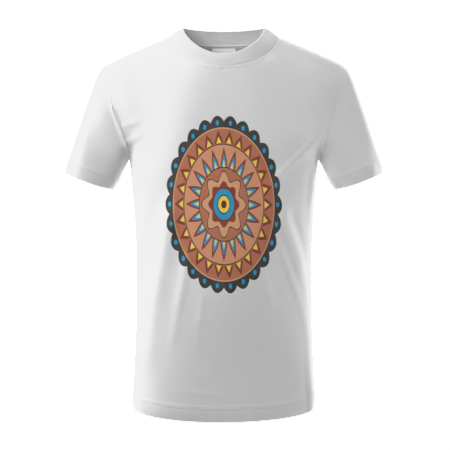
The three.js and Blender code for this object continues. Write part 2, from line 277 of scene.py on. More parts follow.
# Camera, light and floor, in metres. Each sun has its name, strength, degrees round from the
# neck end to the left, elevation and softness.
CAMERA_AIM = (0.0016, -0.0004)
CAMERA_HEIGHT = 6.0
CAMERA_LENS = 329.4
SENSOR_WIDTH = 36
FLOOR_HALF_SIZE = 4.0
FLOOR_Z = -0.0003
FLOOR_COLOUR = (0.93, 0.93, 0.93, 1)
FLOOR_ROUGHNESS = 0.9
FLOOR_GLOW = 1.7
AMBIENT = 0.01
BACKDROP = 2.0
WHITE = (1, 1, 1, 1)
KEY_PLACE = (-1.03, 0.74, 0.57)
KEY_AIM = (-0.05, 0.05, 0.04)
KEY_SIZE = 0.8
KEY_POWER = 19.2
SUNS = [
    ("rim", 1.8, -112, 7, 30),
    ("overhead", 0.7, 0, 88, 20),
]

# The curve from light to the picture's levels
SHOULDER_START = 0.8
SHOULDER_LEVEL = 0.88
WHITE_START = 1.75
WHITE_LIGHT = 2.0
CURVE_STEPS = 34

# Each piece as it is cut: its flat size in metres and its area in square metres
FRONT_CUT = ((0.345, 0.575), 0.160)
BACK_CUT = ((0.345, 0.585), 0.151)
SLEEVE_CUT = ((0.24, 0.16), 0.0218)
BAND_CUT = ((0.36, 0.022), 0.0078)
TAPE_CUT = ((0.145, 0.01), 0.00145)
LABEL_CUT = ((0.034, 0.045), 0.00153)

# Soft forms of the front: ends in plan, half width and height of each
FOLDS = [
    # Broad rises and hollows of the body
    ((20, 560), (-65, 25), 79, 7.5),
    ((-100, 310), (-30, 525), 38, 6.0),
    ((80, 315), (45, 215), 55, 7.0),
    ((95, 350), (-25, 480), 43, -6.0),
    ((35, 55), (50, 30), 77, -10.5),
    ((85, 545), (230, 205), 57, -8.0),
    # Long folds of the body
    ((-80, 295), (-101, 190), 15, 5.5),
    ((-107, 150), (-113, 100), 15, 3.0),
    ((-120, 205), (-100, 300), 26, -6.0),
    ((90, 300), (116, 226), 8, 3.5),
    ((121, 207), (127, 140), 8, 2.5),
    ((70, 345), (130, 405), 7, 2.5),
    ((55, 535), (5, 535), 9, -5.0),
    # Armholes and sleeves, left and right
    ((-165, 475), (-145, 415), 16, -4.0),
    ((-130, 495), (-170, 330), 33, -3.5),
    ((-210, 410), (-210, 420), 35, 10.5),
    ((-210, 375), (-210, 415), 16, 4.0),
    ((165, 495), (175, 350), 32, -5.5),
    ((160, 365), (135, 405), 17, 4.5),
    ((135, 400), (235, 340), 35, 9.0),
]
FOLD_FADE = 14.0
FOLD_END_SHARE = 1.6

# Small creases, given like the folds
CREASES = [
    # Along the left armhole and beside both armpits
    ((-163, 457), (-137, 386), 2.6, 1.3),
    ((-140, 430), (-129, 434), 4.5, 1.0),
    ((-137, 405), (-125, 413), 5.0, 1.3),
    ((140, 394), (120, 416), 4.5, 1.0),
    ((134, 372), (116, 386), 4.5, 0.9),
    ((-147, 398), (-150, 350), 16, 2.6),
    # Under the neck and beside the right armhole
    ((0, 511), (24, 513), 2.4, -0.7),
    ((158, 452), (147, 392), 12, -2.0),
    # Down the body, beside the long folds
    ((-53, 235), (-64, 175), 7, 1.8),
    ((-67, 157), (-72, 125), 7, 1.0),
    ((-31, 178), (-34, 150), 6, 1.0),
    ((-36, 134), (-38, 110), 6, 0.6),
    ((85, 246), (105, 190), 6, 1.6),
    ((85, 285), (109, 215), 6.5, 2.0),
    ((100, 292), (123, 222), 6.5, -2.2),
    ((110, 175), (120, 140), 6, 1.0),
    ((61, 205), (67, 175), 6, 1.3),
    # Along the left edge and across the lower front
    ((-119, 170), (-122, 30), 16, -2.0),
    ((-41, 146), (-20, 148), 2.8, 0.4),
    ((-42, 70), (-26, 69), 2.8, 0.35),
    ((-64, 45), (-12, 40), 3.2, 0.45),
]


def inside_both(a, b):
    return a + b - np.hypot(a, b)


def inside_either(a, b):
    return a + b + np.hypot(a, b)


def inside_rounded(a, b, rounding):
    return (a + b) / 2 - np.hypot((a - b) / 2, rounding)


def smooth_share(value, low, high):
    share = np.clip((value - low) / (high - low), 0, 1)
    return share * share * (3 - 2 * share)


def bell(distance, width):
    """1 at no distance, and fading out on both sides."""
    return np.exp(-((distance / width) ** 2))


def lerp(a, b, share):
    return a + (b - a) * share


def joined(*parts):
    """Coordinates, put together as points."""
    return np.stack(np.broadcast_arrays(*parts), axis=-1)


def line_distance(x, y, point, normal):
    return (x - point[0]) * normal[0] + (y - point[1]) * normal[1]


def body_half_width(y):
    below = np.maximum(0, (WAIST_Y - y) / (WAIST_Y - HEM_CORNER_Y))
    above = np.maximum(0, (y - WAIST_Y) / (ARMPIT_Y - WAIST_Y))
    hem_flare = (HEM_HALF_WIDTH - WAIST_HALF_WIDTH) * below**HEM_FLARE_POWER
    chest_flare = (CHEST_HALF_WIDTH - WAIST_HALF_WIDTH) * above**CHEST_FLARE_POWER
    return WAIST_HALF_WIDTH + hem_flare + chest_flare


SHOULDER_INWARDS = (-math.sin(SHOULDER_SLOPE), -math.cos(SHOULDER_SLOPE))
SLEEVE_INWARDS = (-math.cos(SLEEVE_OUTER_LEAN), -math.sin(SLEEVE_OUTER_LEAN))
ARMPIT = np.array([CHEST_HALF_WIDTH, ARMPIT_Y])
UNDERARM_RUN = (SLEEVE_INNER_CORNER - ARMPIT) / np.linalg.norm(SLEEVE_INNER_CORNER - ARMPIT)
UNDERARM_INWARDS = (-UNDERARM_RUN[1], UNDERARM_RUN[0])


def inside_shoulder(x, y):
    shoulder = line_distance(x, y, SHOULDER_LINE_POINT, SHOULDER_INWARDS)
    sleeve = line_distance(x, y, SLEEVE_OUTER_CORNER, SLEEVE_INWARDS)
    return inside_rounded(shoulder, sleeve, SHOULDER_ROUNDING)


def inside_right_edge(x, y):
    body = body_half_width(y) - x
    sleeve = line_distance(x, y, ARMPIT, UNDERARM_INWARDS)
    return inside_both(inside_either(body, sleeve), inside_shoulder(x, y))


def inset(x, y):
    """How far a point lies inside the folded edges of the shirt: 0 on its outline in plan."""
    return inside_both(inside_right_edge(x, y), inside_right_edge(-x, y))


def zero_of(falling, like, bounds):
    """Where a falling function crosses 0 between two bounds, at each place of an array."""
    low, high = (np.full_like(like, bound) for bound in bounds)
    for _ in range(HALVINGS):
        middle = (low + high) / 2
        above_zero = falling(middle) > 0
        low = np.where(above_zero, middle, low)
        high = np.where(above_zero, high, middle)
    return low


def shoulder_y(x):
    x = np.asarray(x, float)
    return zero_of(lambda y: inside_shoulder(x, y), x, SHOULDER_SEARCH)


def sleeve_outer_x(y):
    y = np.asarray(y, float)
    return zero_of(lambda x: inside_shoulder(x, y), y, SLEEVE_SEARCH)


def fold_height(x, y):
    height = 0
    for start, end, spread, rise in FOLDS + CREASES:
        run = (end[0] - start[0], end[1] - start[1])
        run_length = math.hypot(*run)
        along = ((x - start[0]) * run[0] + (y - start[1]) * run[1]) / run_length
        across = ((x - start[0]) * run[1] - (y - start[1]) * run[0]) / run_length
        past_end = np.maximum(0, np.maximum(-along, along - run_length))
        height = height + rise * bell(across, spread) * bell(past_end, FOLD_END_SHARE * spread)
    return height


def loft(x, y):
    near_hem = np.exp(-y / LOFT_LOSS_LENGTH)
    along_sleeve = smooth_share(np.abs(x), CHEST_HALF_WIDTH, SLEEVE_OUTER_CORNER[0])
    return LOFT * (1 - LOFT_LOSS_AT_HEM * near_hem) * (1 - LOFT_LOSS_AT_SLEEVE_HEM * along_sleeve)


def folds_at(x, y):
    return fold_height(x, y) * smooth_share(inset(x, y), 0, FOLD_FADE)


def front_face(x, y, z):
    return loft(x, y) ** 2 * inset(x, y) - (z - FOLD_LINE_Z - folds_at(x, y)) ** 2


def back_face(x, y, z):
    share = 1 - np.minimum(inset(x, y) / LOWER_EDGE_ROUNDING, 1)
    return 1 - ((z - FOLD_LINE_Z) / FOLD_LINE_Z) ** 2 - share * share


def unit(vectors):
    return vectors / np.maximum(np.linalg.norm(vectors, axis=-1, keepdims=True), LEAST_LENGTH)


def outward(face, x, y, z, step=SLOPE_STEP):
    """The direction in which a face's function falls, which is out of the shirt."""
    return unit(joined(
        face(x - step, y, z) - face(x + step, y, z),
        face(x, y - step, z) - face(x, y + step, z),
        face(x, y, z - step) - face(x, y, z + step),
    ))


def on_front(plan):
    x, y = plan[..., 0], plan[..., 1]
    z = FOLD_LINE_Z + loft(x, y) * np.sqrt(np.maximum(0, inset(x, y))) + folds_at(x, y)
    return joined(x, y, z), outward(front_face, x, y, z + SLOPE_LIFT)


def on_back(plan):
    x, y = plan[..., 0], plan[..., 1]
    share = 1 - np.clip(inset(x, y) / LOWER_EDGE_ROUNDING, 0, 1)
    z = FOLD_LINE_Z * (1 - np.sqrt(1 - share * share))
    return joined(x, y, z), outward(back_face, x, y, z - SLOPE_LIFT)


SHOULDER_TIP = np.array([SHOULDER_TIP_X, shoulder_y(SHOULDER_TIP_X)])
NECK_POINT = np.array([NECK_POINT_X, shoulder_y(NECK_POINT_X)])
HEM_CORNER = np.array([body_half_width(HEM_CORNER_Y), HEM_CORNER_Y])


def even(count):
    return np.linspace(0, 1, count + 1)


def crowded(count, amount):
    """Shares from 0 to 1 that crowd together at both ends."""
    return lerp(even(count), (1 - np.cos(np.pi * even(count))) / 2, amount)


def armhole(share):
    share = np.asarray(share, float)[..., None]
    rest = 1 - share
    return (
        rest**3 * ARMPIT
        + 3 * rest**2 * share * ARMHOLE_PULL_NEAR_ARMPIT
        + 3 * rest * share**2 * ARMHOLE_PULL_NEAR_TIP
        + share**3 * SHOULDER_TIP
    )


def neck_seam(angle, drop):
    height = NECK_POINT[1] - drop * np.abs(np.sin(angle)) ** NECK_SEAM_POWER
    return joined(NECK_POINT[0] * np.cos(angle), height)


def share_of_neck(share):
    """The share of the way along the neck seam, for a share of the way along the top edge."""
    return np.clip((share - NECK_SHARE) / (1 - 2 * NECK_SHARE), 0, 1)


def panel_top(share, neck_drop):
    """The top edge, from the left shoulder tip (0) through the neck seam to the right one (1)."""
    to_neck = np.minimum(share, 1 - share) / NECK_SHARE
    x = lerp(SHOULDER_TIP[0], NECK_POINT[0], np.minimum(to_neck, 1))
    shoulder = joined(np.where(share < 0.5, -x, x), shoulder_y(x))
    seam = neck_seam(np.pi * (1 - share_of_neck(share)), neck_drop)
    return np.where((to_neck < 1)[:, None], shoulder, seam)


def panel_side():
    """The right edge of a body panel, with close rows in the hem."""
    above_hem = HEM_CORNER_Y + BODY_HEM_DEPTH + CLOSE_ROWS_PAST_HEM
    y = np.concatenate([
        np.linspace(HEM_CORNER_Y, above_hem, HEM_STEPS, endpoint=False),
        np.linspace(above_hem, ARMPIT_Y, SIDE_STEPS, endpoint=False),
    ])
    seam = joined(body_half_width(y), y)
    return np.concatenate([seam, armhole(crowded(ARMHOLE_STEPS, ARMHOLE_CROWDING))])


def panel_shares(shoulder_columns, neck_columns):
    shoulder = even(shoulder_columns)[:-1]
    edge = NECK_SHARE * lerp(shoulder, shoulder**2, SHOULDER_CROWDING)
    neck = lerp(NECK_SHARE, 1 - NECK_SHARE, even(neck_columns))
    return np.concatenate([edge, neck, 1 - edge[::-1]])


def panel_plan(shares, neck_drop, hem_sag):
    """A body panel in plan, row by row from the hem. The side edge sets each row's width and
    height, the hem shapes the lowest rows and the top edge the highest ones."""
    top = panel_top(shares, neck_drop)
    side_x, side_y = panel_side()[:, :1], panel_side()[:, 1:]
    share = (side_y - HEM_CORNER[1]) / (SHOULDER_TIP[1] - HEM_CORNER[1])
    towards_top = share**3
    angle = np.pi * (shares - 0.5)
    across = lerp(np.sin(angle), top[:, 0] / SHOULDER_TIP[0], towards_top)
    hem = -hem_sag * np.cos(angle) * (1 - share) ** 2
    y = side_y + hem + (top[:, 1] - SHOULDER_TIP[1]) * towards_top
    return joined(side_x * across, y)


def sleeve_plan(inwards, along):
    """The right sleeve: share of the way to the underarm, share of the way to the hem."""
    seam = armhole(1 - inwards)
    hem = lerp(SLEEVE_OUTER_CORNER, SLEEVE_INNER_CORNER, inwards[..., None])
    hem[..., 1] -= SLEEVE_HEM_BULGE * np.sin(np.pi * inwards)
    outer_y = lerp(SHOULDER_TIP[1], SLEEVE_OUTER_CORNER[1], along)
    straight = lerp(SHOULDER_TIP[0], sleeve_outer_x(SLEEVE_OUTER_CORNER[1]), along)
    bulge = (sleeve_outer_x(outer_y) - straight) * (1 - inwards)
    plan = lerp(seam, hem, along[..., None])
    plan[..., 0] += bulge
    return plan


def travelled(points, axis):
    """How far each grid point is from the first one along an axis, over the surface."""
    gaps = np.linalg.norm(np.diff(points, axis=axis), axis=-1)
    start = np.zeros_like(np.take(gaps, [0], axis=axis))
    return np.concatenate([start, np.cumsum(gaps, axis=axis)], axis=axis)


def wrapped(grid):
    """A ring's grid with its first column repeated at the end."""
    return np.concatenate([grid, grid[:, :1]], axis=1)


# Reliefs, as distances that the outer face stands out from the smooth shirt
def seam_relief(distance):
    """A sewn line sinks in a little, beside a low ridge where the seam allowance lies under it."""
    ridge = SEAM_RIDGE * bell(distance - SEAM_RIDGE_PLACE, SEAM_RIDGE_WIDTH)
    return ridge - SEAM_DIP * bell(distance, SEAM_DIP_WIDTH)


def stitch_groove(distance, place):
    return -STITCH_DIP * bell(distance - place, STITCH_DIP_WIDTH)


def pucker(along, distance):
    """Small gathers that run away from a sewn line."""
    wander = PUCKER_WANDER * np.sin(along / PUCKER_WANDER_LENGTH)
    waves = np.sin(2 * np.pi * along / PUCKER_PITCH + wander)
    return PUCKER * waves * (1 - bell(distance, PUCKER_START)) * bell(distance, PUCKER_LENGTH)


def hem_relief(distance, along, depth):
    """A turned-up hem: a swollen band with a ridge along its top and two rows of stitches, and
    slanted waves where the two layers are twisted against each other."""
    band = HEM_RISE * (1 - smooth_share(distance - depth, *HEM_RISE_ENDS))
    band -= HEM_DROP * np.maximum(0, 1 - distance / depth) ** 2
    ridge = HEM_RIDGE * bell(distance - depth - HEM_RIDGE_PLACE, HEM_RIDGE_WIDTH)
    rows = stitch_groove(distance, depth - TWIN_NEEDLE_GAP) + stitch_groove(distance, depth)
    wander = HEM_TWIST_WANDER * np.sin(along / HEM_TWIST_WANDER_LENGTH)
    slant = np.sin(2 * np.pi * (along + HEM_TWIST_SLANT * distance) / HEM_TWIST_PITCH + wander)
    between = bell(distance - depth * HEM_TWIST_MIDDLE, depth * HEM_TWIST_SPREAD)
    return band + ridge + rows + HEM_TWIST * slant * between


def hem_thickness(distance, depth):
    """Two layers of jersey in the hem and one above it."""
    return JERSEY * (2 - smooth_share(distance - depth, -HEM_STEP, HEM_STEP))


def neck_relief(distance):
    """The body just under the neck band: a flat ridge that a row of stitches holds down."""
    past_stitches = smooth_share(distance - NECK_STITCH_PLACE, 0, NECK_RIDGE_FADE)
    at_seam = seam_relief(0) - SEAM_RIDGE
    sunk = at_seam * bell(distance, SEAM_DIP_WIDTH)
    return SEAM_RIDGE * (1 - past_stitches) + sunk + stitch_groove(distance, NECK_STITCH_PLACE)


def neck_groove(distance, seam_x, towards_front):
    """The front neck seam lies deeper on the left. towards_front is 0 at the neck points."""
    on_left = smooth_share(-seam_x, *NECK_GROOVE_SIDE)
    clear_of_ends = smooth_share(towards_front, 0, NECK_GROOVE_END)
    return -NECK_GROOVE * on_left * clear_of_ends * bell(distance, NECK_GROOVE_WIDTH)


def cloth_faces(surface, normals, relief, thickness):
    """The outer face, raised by its relief but never under the ground, and the inner face."""
    outer = surface + normals * relief[..., None]
    outer[..., 2] = np.maximum(outer[..., 2], 0)
    return outer, outer - normals * np.asarray(thickness)[..., None]


# Meshes
def to_frame(points):
    return (points - np.array([0, NECK_EDGE_CORNER_Y / 2, 0])) * MM


def share_of_way(grid, axis):
    """Where each row or column lies between the first and the last, by its mean distance."""
    mean = travelled(grid, axis).mean(axis=1 - axis)
    return mean / mean[-1]


class Patches:
    """Grids of points that are sewn into one mesh, each with its own place on two maps."""

    def __init__(self):
        self.points = []
        self.faces = []
        self.cloth = []
        self.layout = []
        self.count = 0

    def add(self, grid, cloth, box):
        """The cloth coordinates are in millimetres. The box is the grid's place in the layout."""
        rows, columns = grid.shape[:2]
        row, column = np.meshgrid(np.arange(rows - 1), np.arange(columns - 1), indexing="ij")
        first = (self.count + row * columns + column).ravel()
        self.faces.append(joined(first, first + 1, first + columns + 1, first + columns))
        left, right, low, high = box
        across = lerp(left, right, share_of_way(grid, 1))
        up = lerp(low, high, share_of_way(grid, 0))
        self.layout.append(joined(*np.meshgrid(across, up)).reshape(-1, 2))
        self.cloth.append(cloth.reshape(-1, 2) * MM)
        self.points.append(grid.reshape(-1, 3))
        self.count += rows * columns

    def build(self, name, material):
        mesh = bpy.data.meshes.new(name)
        faces = np.concatenate(self.faces)
        mesh.from_pydata(to_frame(np.concatenate(self.points)).tolist(), [], faces.tolist())
        for map_name, values in ((CLOTH_MAP, self.cloth), (LAYOUT_MAP, self.layout)):
            layer = mesh.uv_layers.new(name=map_name)
            corners = np.concatenate(values)[faces.ravel()].astype(np.float32)
            layer.uv.foreach_set("vector", corners.ravel())
        sew(mesh)
        return piece_from(name, mesh, material)


def sew(mesh):
    """Joins the edges that patches share, fills the small corners between rims and turns the
    faces outwards."""
    work = bmesh.new()
    work.from_mesh(mesh)
    bmesh.ops.remove_doubles(work, verts=work.verts, dist=SAME_POINT)
    open_edges = [edge for edge in work.edges if edge.is_boundary]
    if open_edges:
        bmesh.ops.holes_fill(work, edges=open_edges, sides=0)
    bmesh.ops.recalc_face_normals(work, faces=work.faces)
    work.to_mesh(mesh)
    work.free()


def piece_from(name, mesh, material):
    mesh.polygons.foreach_set("use_smooth", np.ones(len(mesh.polygons), bool))
    mesh.set_sharp_from_angle(angle=SHARP_ANGLE)
    mesh.materials.append(material)
    return placed(name, mesh)


def placed(name, data):
    """An object of this name that shows the data, in the scene."""
    made = bpy.data.objects.new(name, data)
    bpy.context.scene.collection.objects.link(made)
    return made


def rounded_rim(outer, inner):
    """Rows that carry the first row of the outer face round to that of the inner one."""
    outwards = unit(outer[0] - outer[1])
    middle, half = (outer[0] + inner[0]) / 2, (outer[0] - inner[0]) / 2
    reach = np.linalg.norm(half, axis=-1, keepdims=True)
    angles = np.pi * np.arange(1, RIM_ROWS + 1) / (RIM_ROWS + 1)
    bow = [middle + half * math.cos(a) + outwards * reach * math.sin(a) for a in angles]
    return np.stack([outer[0], *bow, inner[0]])


def cloth_shell(name, outer, inner, material, cloth, ring=False):
    """A closed sheet of cloth whose first row is a free edge. A ring's last column repeats its
    first one. The layout shows the outer face on the left and the inner one on the right."""
    patches = Patches()
    patches.add(outer, cloth, OUTER_BOX)
    patches.add(inner, cloth - np.array([0, INNER_FACE_SHIFT]), INNER_BOX)
    rim = rounded_rim(outer, inner)
    patches.add(rim, np.stack([cloth[0]] * len(rim)), RIM_BOX)
    patches.add(np.stack([outer[-1], inner[-1]]), np.stack([cloth[-1]] * 2), SEAM_BOX)
    if not ring:
        for side, box in zip((0, -1), SIDE_BOXES):
            edge = np.stack([outer[:, side], inner[:, side]], axis=1)
            patches.add(edge, np.stack([cloth[:, side]] * 2, axis=1), box)
    return patches.build(name, material)


def line_on(grid, distances, place):
    """The line over a grid at one distance along its columns."""
    return np.array([
        [np.interp(place, distances[:, column], values) for values in grid[:, column].T]
        for column in range(grid.shape[1])
    ])


def stitch_row(line, normals):
    """Where stitches lie along a line: their middles, directions and normals."""
    way = travelled(line[:, None], 0)[:, 0]
    count = int(way[-1] / STITCH_PITCH)
    places = (np.arange(count) + 0.5) * way[-1] / count

    def along(values, at):
        return joined(*(np.interp(at, way, column) for column in values.T))

    direction = unit(along(line, places + STITCH_AIM) - along(line, places - STITCH_AIM))
    return along(line, places), direction, unit(along(normals, places))


def hem_stitches(outer, normals, from_hem, depth):
    """The two rows of stitches that hold a hem."""
    return [
        stitch_row(line_on(outer, from_hem, place), line_on(normals, from_hem, place))
        for place in (depth - TWIN_NEEDLE_GAP, depth)
    ]


def stitches(name, rows, material):
    """Short plump threads in one mesh, each a spindle: a tip, two rings of corners and a tip."""
    middle, direction, normal = (np.concatenate(part) for part in zip(*rows))
    middle[:, 2] = np.maximum(middle[:, 2], STITCH_RADIUS)
    sideways = np.cross(normal, direction)
    tip = direction * STITCH_LENGTH / 2
    turns = 2 * math.pi * np.arange(STITCH_SIDES) / STITCH_SIDES
    ring = [(sideways * math.cos(t) + normal * math.sin(t)) * STITCH_RADIUS for t in turns]
    near_ring = [middle - tip / 2 + corner for corner in ring]
    far_ring = [middle + tip / 2 + corner for corner in ring]
    points = np.stack([middle - tip, *near_ring, *far_ring, middle + tip], axis=1)

    near, far, last = 1, 1 + STITCH_SIDES, 1 + 2 * STITCH_SIDES
    faces = []
    for side in range(STITCH_SIDES):
        following = (side + 1) % STITCH_SIDES
        faces.append([0, near + following, near + side])
        faces.append([near + side, near + following, far + following, far + side])
        faces.append([last, far + side, far + following])
    firsts = [stitch * points.shape[1] for stitch in range(len(middle))]
    every = [[first + corner for corner in face] for first in firsts for face in faces]
    mesh = bpy.data.meshes.new(name)
    mesh.from_pydata(to_frame(points.reshape(-1, 3)).tolist(), [], every)
    return piece_from(name, mesh, material)


# Pieces of the shirt, each with its rows of stitches
def panel_relief(shares, from_hem, from_top, from_side, from_middle):
    """The hem, the seams along the sides and the top, and the gathers beside them."""
    past_neck_point = np.minimum(shares, 1 - shares) - NECK_SHARE
    under_neck = smooth_share(past_neck_point, -NECK_RIDGE_BLEND, NECK_RIDGE_BLEND)
    top_relief = lerp(seam_relief(from_top), neck_relief(from_top), under_neck)
    relief = np.where(from_side < from_top, seam_relief(from_side), top_relief)
    gathers = pucker(from_hem, from_side) + pucker(from_middle, from_top)
    relief += gathers * smooth_share(np.minimum(from_side, from_top), 0, PUCKER_CLEAR_OF_SEAM)
    return relief + hem_relief(from_hem, from_middle, BODY_HEM_DEPTH)


def neck_stitches(outer, normals, from_top, shares):
    """The row of stitches in a body panel, just under the neck band."""
    neck = (shares > NECK_SHARE) & (shares < 1 - NECK_SHARE)
    down = slice(None, None, -1)
    distances = from_top[down, neck]
    lines = [line_on(grid[down, neck], distances, NECK_STITCH_PLACE) for grid in (outer, normals)]
    return stitch_row(*lines)


def body_panel(name, on_face, shares, neck_drop, hem_sag, material):
    surface, normals = on_face(panel_plan(shares, neck_drop, hem_sag))
    from_hem, across = travelled(surface, 0), travelled(surface, 1)
    from_top = from_hem[-1] - from_hem
    middle = len(shares) // 2
    from_middle = across - across[:, middle:middle + 1]
    from_side = np.minimum(across, across[:, -1:] - across)

    relief = panel_relief(shares, from_hem, from_top, from_side, from_middle)
    if on_face is on_front:
        towards_front = np.sin(np.pi * share_of_neck(shares))
        relief += neck_groove(from_top, surface[-1, :, 0], towards_front)
    outer, inner = cloth_faces(surface, normals, relief, hem_thickness(from_hem, BODY_HEM_DEPTH))
    cloth = joined(from_middle, surface[:1, :, 1] + from_hem)
    panel = cloth_shell(name, outer, inner, material, cloth)
    rows = hem_stitches(outer, normals, from_hem, BODY_HEM_DEPTH)
    return panel, rows + [neck_stitches(outer, normals, from_top, shares)]


def front_panel(material):
    shares = panel_shares(SHOULDER_STEPS, FRONT_NECK_STEPS)
    return body_panel("front", on_front, shares, FRONT_NECK_DROP, HEM_CORNER_Y, material)


def back_panel(material):
    shares = panel_shares(BACK_SHOULDER_STEPS, BACK_NECK_STEPS)
    return body_panel("back", on_back, shares, BACK_NECK_DROP, BACK_HEM_SAG, material)


def sleeve(name, side, material):
    """A ring from the outer fold over the front to the underarm and back under it, with rows
    from the hem to the armhole."""
    shares = crowded(ARMHOLE_STEPS, ARMHOLE_CROWDING)
    inwards, along = np.meshgrid(shares, 1 - crowded(SLEEVE_STEPS, SLEEVE_CROWDING))
    plan = sleeve_plan(inwards, along) * np.array([side, 1])
    front, front_normals = on_front(plan)
    back, back_normals = on_back(plan[:, -2::-1])
    surface = np.concatenate([front, back], axis=1)
    normals = np.concatenate([front_normals, back_normals], axis=1)
    surface[:, -1], normals[:, -1] = surface[:, 0], normals[:, 0]

    from_hem, around = travelled(surface, 0), travelled(surface, 1)
    from_seam = from_hem[-1] - from_hem
    underarm = around[:, len(shares) - 1:len(shares)]
    from_underarm = np.abs(around - underarm)
    nearest = np.minimum(from_seam, from_underarm)
    gathers = pucker(around, from_seam) + pucker(from_hem, from_underarm)
    relief = seam_relief(nearest) + gathers * smooth_share(nearest, 0, PUCKER_CLEAR_OF_SEAM)
    relief += hem_relief(from_hem, around, SLEEVE_HEM_DEPTH)
    relief[:, -1] = relief[:, 0]
    outer, inner = cloth_faces(surface, normals, relief, hem_thickness(from_hem, SLEEVE_HEM_DEPTH))
    cloth = joined(around, from_hem)
    made = cloth_shell(name, outer, inner, material, cloth, ring=True)
    return made, hem_stitches(outer, normals, from_hem, SLEEVE_HEM_DEPTH)


def neck_edge(angle):
    """The free top edge of the neck band: 0 to pi over the front, then along the back."""
    middle = np.abs(np.sin(angle))
    in_front = np.sin(angle) >= 0
    front_drop = NECK_EDGE_FRONT_DROP * middle**NECK_EDGE_FRONT_POWER
    back_drop = NECK_EDGE_BACK_DROP * middle**NECK_EDGE_BACK_POWER
    y = NECK_EDGE_CORNER_Y - np.where(in_front, front_drop, back_drop)
    z = lerp(NECK_EDGE_SIDE_Z, np.where(in_front, NECK_EDGE_FRONT_Z, NECK_EDGE_BACK_Z), middle)
    return joined(NECK_EDGE_HALF_WIDTH * np.cos(angle), y, z)


def neck_seam_round(angle):
    """The neck seam with its normals: 0 to pi over the front, then along the back."""
    front, front_normals = on_front(neck_seam(angle, FRONT_NECK_DROP))
    back, back_normals = on_back(neck_seam(angle, BACK_NECK_DROP))
    in_front = (np.sin(angle) >= 0)[:, None]
    return np.where(in_front, front, back), np.where(in_front, front_normals, back_normals)


def rib_angles():
    """Angles round the neck at which whole ribs fit evenly along the middle of the band."""
    fine = np.linspace(0, 2 * math.pi, NECK_ROUND_POINTS)
    way = travelled(((neck_seam_round(fine)[0] + neck_edge(fine)) / 2)[:, None], 0)[:, 0]
    count = round(way[-1] / RIB_PITCH) * COLUMNS_IN_A_RIB
    return np.interp(np.arange(count) * way[-1] / count, way, fine)


def ring_direction(ring):
    """The direction along a ring at each of its points."""
    return np.roll(ring, -1, axis=0) - np.roll(ring, 1, axis=0)


def neck_band(material):
    angle = rib_angles()
    seam, seam_normals = neck_seam_round(angle)
    edge = neck_edge(angle)
    share = 1 - crowded(NECK_BAND_STEPS, NECK_BAND_CROWDING)[:, None, None]
    own_normals = unit(np.cross(edge - seam, lerp(ring_direction(seam), ring_direction(edge), share)))
    surface, normals = lerp(seam, edge, share), unit(lerp(seam_normals, own_normals, share))

    from_seam = travelled(surface[::-1], 0)[::-1]
    ribs = np.arange(len(angle)) / COLUMNS_IN_A_RIB
    relief = seam_relief(from_seam)
    relief += RIB_HEIGHT * np.cos(2 * math.pi * ribs) * smooth_share(from_seam, *RIB_FADE)
    relief += BAND_BULGE * np.sin(math.pi * share[..., 0])
    relief += neck_groove(from_seam, seam[:, 0], np.sin(angle))
    outer, inner = cloth_faces(surface, normals, relief, RIB)
    cloth = joined(ribs * RIB_PITCH, from_seam)
    outer, inner, cloth = wrapped(outer), wrapped(inner), wrapped(cloth)
    return cloth_shell("neck_band", outer, inner, material, cloth, ring=True), []


def neck_tape(material):
    """The tape lies inside, on the back panel, just below the back neck seam."""
    across = lerp(-TAPE_REACH, TAPE_REACH, even(TAPE_COLUMNS))
    seam = neck_seam(np.arccos(across), BACK_NECK_DROP)
    into_tape = lerp(TAPE_WIDTH, 0, even(TAPE_ROWS))[:, None]
    plan = joined(seam[:, 0], seam[:, 1] - TAPE_BELOW_SEAM - into_tape)
    surface, normals = on_back(plan)
    bow = TAPE_BOW * np.sin(np.pi * into_tape / TAPE_WIDTH)[..., None]
    outer = surface - normals * (JERSEY + TAPE_LIFT)
    inner = outer - normals * (TAPE_THICKNESS + bow)
    tape = cloth_shell("tape", outer, inner, material, plan)
    return tape, [stitch_row(inner[row], -normals[row]) for row in (1, TAPE_ROWS - 1)]


def neck_label(material):
    """The label hangs from the tape, flat against the inside of the back, its free end lifted."""
    bottom = JERSEY + TAPE_LIFT + TAPE_THICKNESS + SEAM_GAP
    top = NECK_POINT[1] - BACK_NECK_DROP - LABEL_BELOW_SEAM
    x, share = np.meshgrid((even(LABEL_COLUMNS) - 0.5) * LABEL_WIDTH, 1 - even(LABEL_ROWS))
    down = share * LABEL_LENGTH
    curl = LABEL_CURL * np.cos(2 * math.pi * x / LABEL_WIDTH + LABEL_CURL_TURN)
    lift = LABEL_LIFT * share**2 * (1 - LABEL_CURL + curl)
    lower = joined(x, top - down, bottom + lift)
    upper = lower + np.array([0, 0, LABEL_THICKNESS])
    cloth = joined(x, -down)
    label = cloth_shell("label", upper, lower, material, cloth)
    upwards = np.tile([0, 0, 1.0], (len(upper), 1))
    return label, [stitch_row(upper[:, column], upwards) for column in (1, -2)]


# Materials
def from_srgb(*levels):
    """Linear colour from the 0 to 255 levels that a screen shows."""
    shares = [level / 255 for level in levels]
    return tuple(s / 12.92 if s <= 0.04045 else ((s + 0.055) / 1.055) ** 2.4 for s in shares)


TERRACOTTA = from_srgb(192, 118, 88)
DARK_BROWN = from_srgb(140, 65, 46)
TAN = from_srgb(226, 170, 124)
PEACH = from_srgb(224, 156, 118)
CHARCOAL = from_srgb(62, 60, 54)
TURQUOISE = from_srgb(20, 164, 218)
YELLOW = from_srgb(252, 222, 88)
MAROON = from_srgb(110, 38, 36)

# Rings of the medallion, from the outermost in, each with its outer edge and its ink
PRINT_RINGS = [
    (1.0, CHARCOAL),
    (0.865, TAN),
    (0.85, TERRACOTTA),
    (0.68, CHARCOAL),
    (0.668, PEACH),
    (0.42, CHARCOAL),
    (0.408, TERRACOTTA),
]

